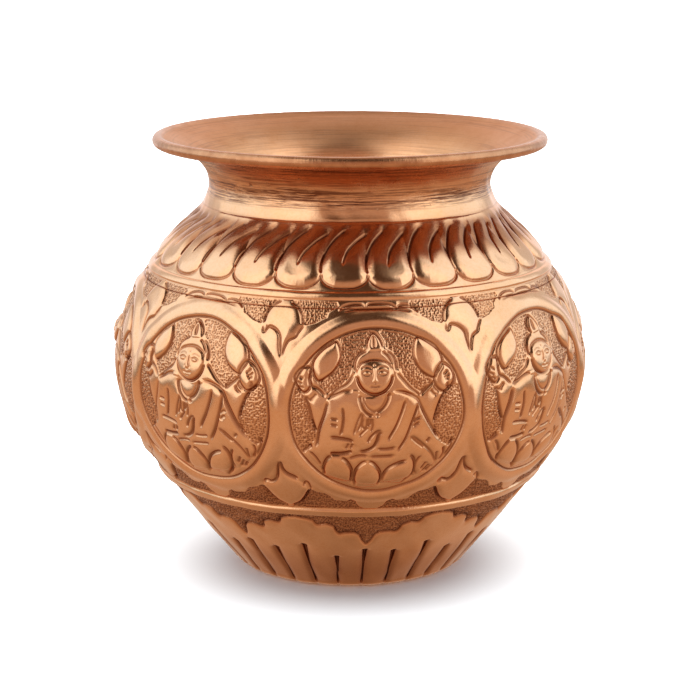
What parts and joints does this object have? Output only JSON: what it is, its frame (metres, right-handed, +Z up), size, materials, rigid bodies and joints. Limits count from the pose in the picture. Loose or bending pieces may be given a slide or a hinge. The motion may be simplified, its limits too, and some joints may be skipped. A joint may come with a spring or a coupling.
{
  "type": "kalash pot",
  "caption": "Small round-bellied copper water pot with a narrow neck, a wide flared mouth and a chased belly band of seated figures in medallions.",
  "frame": {"origin": "centre of the base, on the surface the pot stands on", "axes": "+Z is up along the axis of turning, through the mouth; the front of the pot, as first seen, faces -Y"},
  "size_m": [0.1236, 0.1236, 0.1143],
  "materials": {
    "copper_shell": "polished copper with darkened chasing",
    "lip_wire": "plain drawn copper wire",
    "braze": "brazing brass, as cast"
  },
  "bodies": {
    "root": {"body_bowl": "copper_shell", "neck_and_shoulder": "copper_shell", "lip_wire": "lip_wire", "seam_braze": "braze"}
  },
  "joints": []
}
